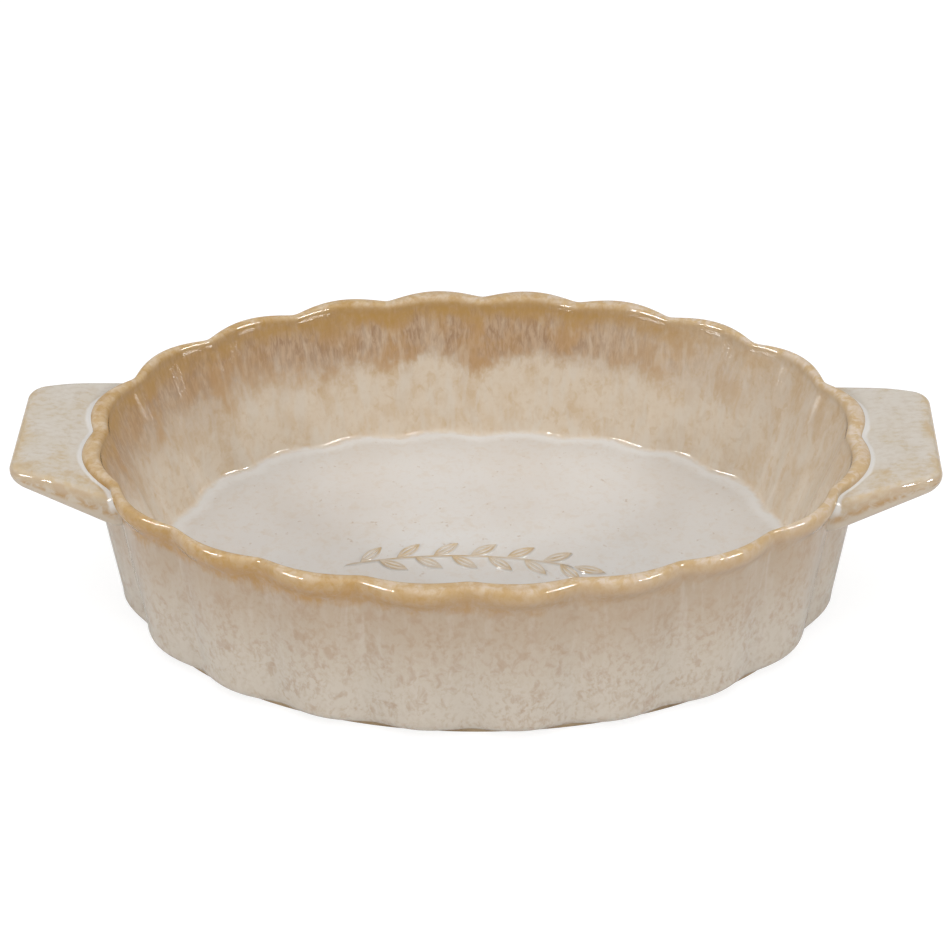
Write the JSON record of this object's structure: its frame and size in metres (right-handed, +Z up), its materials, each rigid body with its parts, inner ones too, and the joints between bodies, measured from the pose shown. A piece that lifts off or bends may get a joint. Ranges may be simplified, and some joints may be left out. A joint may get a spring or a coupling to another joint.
{
  "type": "baking dish",
  "caption": "Oval fluted stoneware baking dish with a rounded scalloped lip, flat tab handles at both ends and a low foot ring.",
  "frame": {"origin": "on the surface it stands on, under the middle of the dish", "axes": "+Z up, X along the length through both handles, Y across the width"},
  "size_m": [0.3282, 0.1996, 0.067],
  "materials": {
    "raw_stoneware": "matt, unglazed and fired brown",
    "floor_glaze": "gloss, pale grey white with fine specks",
    "wall_glaze": "gloss, beige with pinkish brown mottling",
    "lip_glaze": "gloss, amber where the glaze thins",
    "handle_glaze": "gloss, pale grey beige with ochre edges",
    "relief_glaze": "gloss, ochre on the raised edges"
  },
  "bodies": {
    "root": {"foot_ring": "raw_stoneware", "dish_floor": "floor_glaze", "fluted_wall": "wall_glaze", "rim_lip": "lip_glaze", "left_handle": "handle_glaze", "right_handle": "handle_glaze", "floor_sprig": "relief_glaze"}
  },
  "joints": []
}
